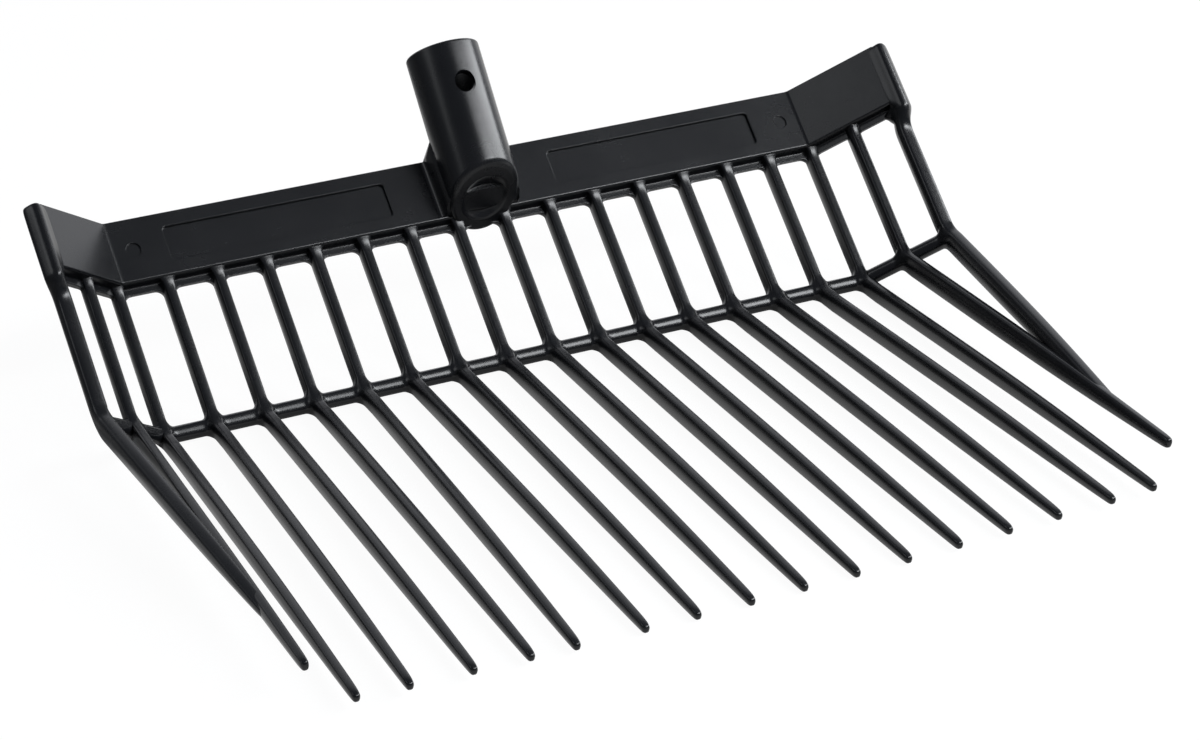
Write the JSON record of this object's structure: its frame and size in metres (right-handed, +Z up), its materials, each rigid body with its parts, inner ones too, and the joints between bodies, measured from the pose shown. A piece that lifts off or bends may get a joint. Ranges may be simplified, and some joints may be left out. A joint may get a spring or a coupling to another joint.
{
  "type": "manure fork head",
  "caption": "Moulded plastic manure fork head: a scoop of slim bars and tines below a headboard with folded end panels and a round socket for a handle.",
  "frame": {"origin": "on the floor under the middle of the part's box, with the head lying on its tines", "axes": "+X across the head to the right as seen from the points, +Y from the points to the handle socket, +Z up"},
  "size_m": [0.399, 0.3111, 0.1205],
  "materials": {
    "black_plastic": "semi-gloss black moulded plastic"
  },
  "bodies": {
    "root": {"left_board": "black_plastic", "right_board": "black_plastic", "left_wing": "black_plastic", "right_wing": "black_plastic", "left_wing_rim": "black_plastic", "right_wing_rim": "black_plastic", "handle_socket": "black_plastic", "cross_rail": "black_plastic", "left_rail_end": "black_plastic", "right_rail_end": "black_plastic", "bar_01": "black_plastic", "bar_02": "black_plastic", "bar_03": "black_plastic", "bar_04": "black_plastic", "bar_05": "black_plastic", "bar_06": "black_plastic", "bar_07": "black_plastic", "bar_08": "black_plastic", "bar_09": "black_plastic", "bar_10": "black_plastic", "bar_11": "black_plastic", "bar_12": "black_plastic", "bar_13": "black_plastic", "bar_14": "black_plastic", "bar_15": "black_plastic", "bar_16": "black_plastic", "bar_17": "black_plastic", "bar_18": "black_plastic", "bar_19": "black_plastic", "bar_20": "black_plastic", "tine_01": "black_plastic", "tine_02": "black_plastic", "tine_03": "black_plastic", "tine_04": "black_plastic", "tine_05": "black_plastic", "tine_06": "black_plastic", "tine_07": "black_plastic", "tine_08": "black_plastic", "tine_09": "black_plastic", "tine_10": "black_plastic", "tine_11": "black_plastic", "tine_12": "black_plastic", "tine_13": "black_plastic", "tine_14": "black_plastic", "tine_15": "black_plastic", "tine_16": "black_plastic", "tine_17": "black_plastic", "tine_18": "black_plastic", "tine_19": "black_plastic", "tine_20": "black_plastic"}
  },
  "joints": []
}
